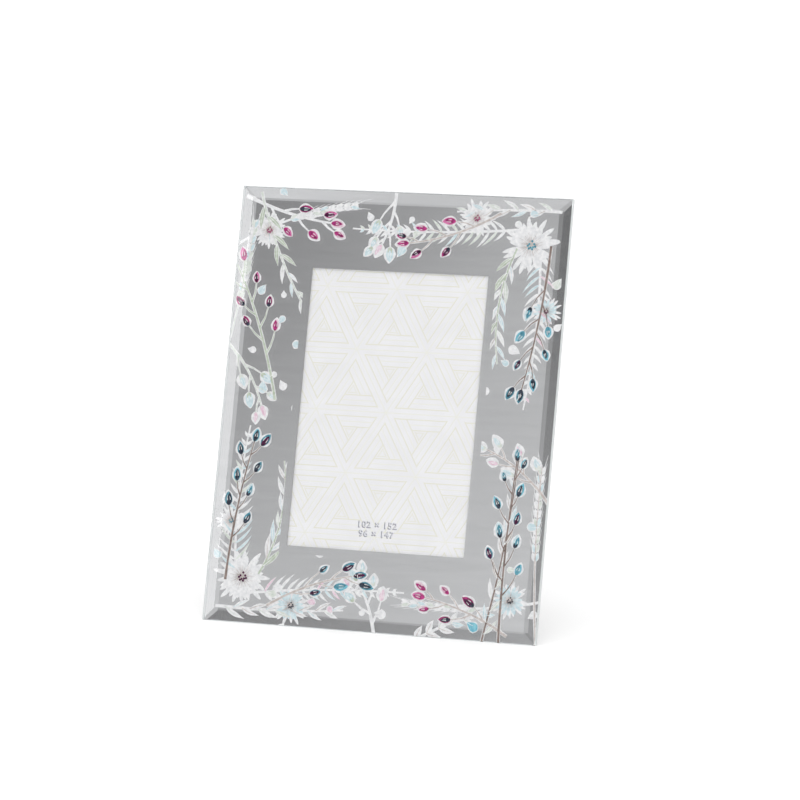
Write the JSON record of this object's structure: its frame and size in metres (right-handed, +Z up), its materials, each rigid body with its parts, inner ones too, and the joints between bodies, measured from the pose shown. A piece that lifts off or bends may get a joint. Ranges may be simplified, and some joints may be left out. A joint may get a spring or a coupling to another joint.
{
  "type": "standing glass photo frame",
  "caption": "Bevelled mirror-glass photo frame with a clear window, a velour-covered back with a slide-out door, and a hinged easel leg.",
  "frame": {"origin": "on the surface that it stands on, at the middle of the standing frame's box", "axes": "+Z up, the front of the glass faces -Y and leans back, +X to the right of someone who looks at the front"},
  "size_m": [0.18, 0.1004, 0.2205],
  "materials": {
    "glass": "polished, clear, bevelled round the front",
    "mirror": "silvered rear face of the glass, printed over in part",
    "tape": "white foam tape",
    "board": "raw fibreboard",
    "velour": "short flocked pile",
    "card": "smooth printed card",
    "greyboard": "raw grey board",
    "steel": "nickel-plated stamped steel"
  },
  "bodies": {
    "frame": {"glass_panel": "glass", "mirror_coat": "mirror", "tape_left": "tape", "tape_right": "tape", "tape_bottom": "tape", "rail_left": "board", "rail_right": "board", "rail_bottom": "board", "rail_cover_left": "velour", "rail_cover_right": "velour", "rail_cover_bottom": "velour"},
    "card": {"photo_card": "card"},
    "sheet": {"pressure_sheet": "greyboard"},
    "door": {"door_board": "board", "door_cover": "velour", "hinge_door_leaf": "steel", "hinge_pin": "steel", "door_rivet_left": "steel", "door_rivet_right": "steel"},
    "leg": {"leg_board": "board", "leg_cover": "velour", "hinge_leg_leaf": "steel", "leg_rivet_left": "steel", "leg_rivet_right": "steel"}
  },
  "joints": [
    {"name": "door_slide", "type": "slide", "parent": "frame", "child": "door", "axis": [0, 0.3107, 0.9505], "range_m": [0, 0.19]},
    {"name": "card_slide", "type": "slide", "parent": "frame", "child": "card", "axis": [0, 0.3107, 0.9505], "range_m": [0, 0.185]},
    {"name": "sheet_slide", "type": "slide", "parent": "frame", "child": "sheet", "axis": [0, 0.3107, 0.9505], "range_m": [0, 0.185]},
    {"name": "leg_hinge", "type": "hinge", "parent": "door", "child": "leg", "pos_m": [0, 0.00953, 0.13932], "axis": [1, 0, 0], "range_deg": [-34, 0]}
  ]
}
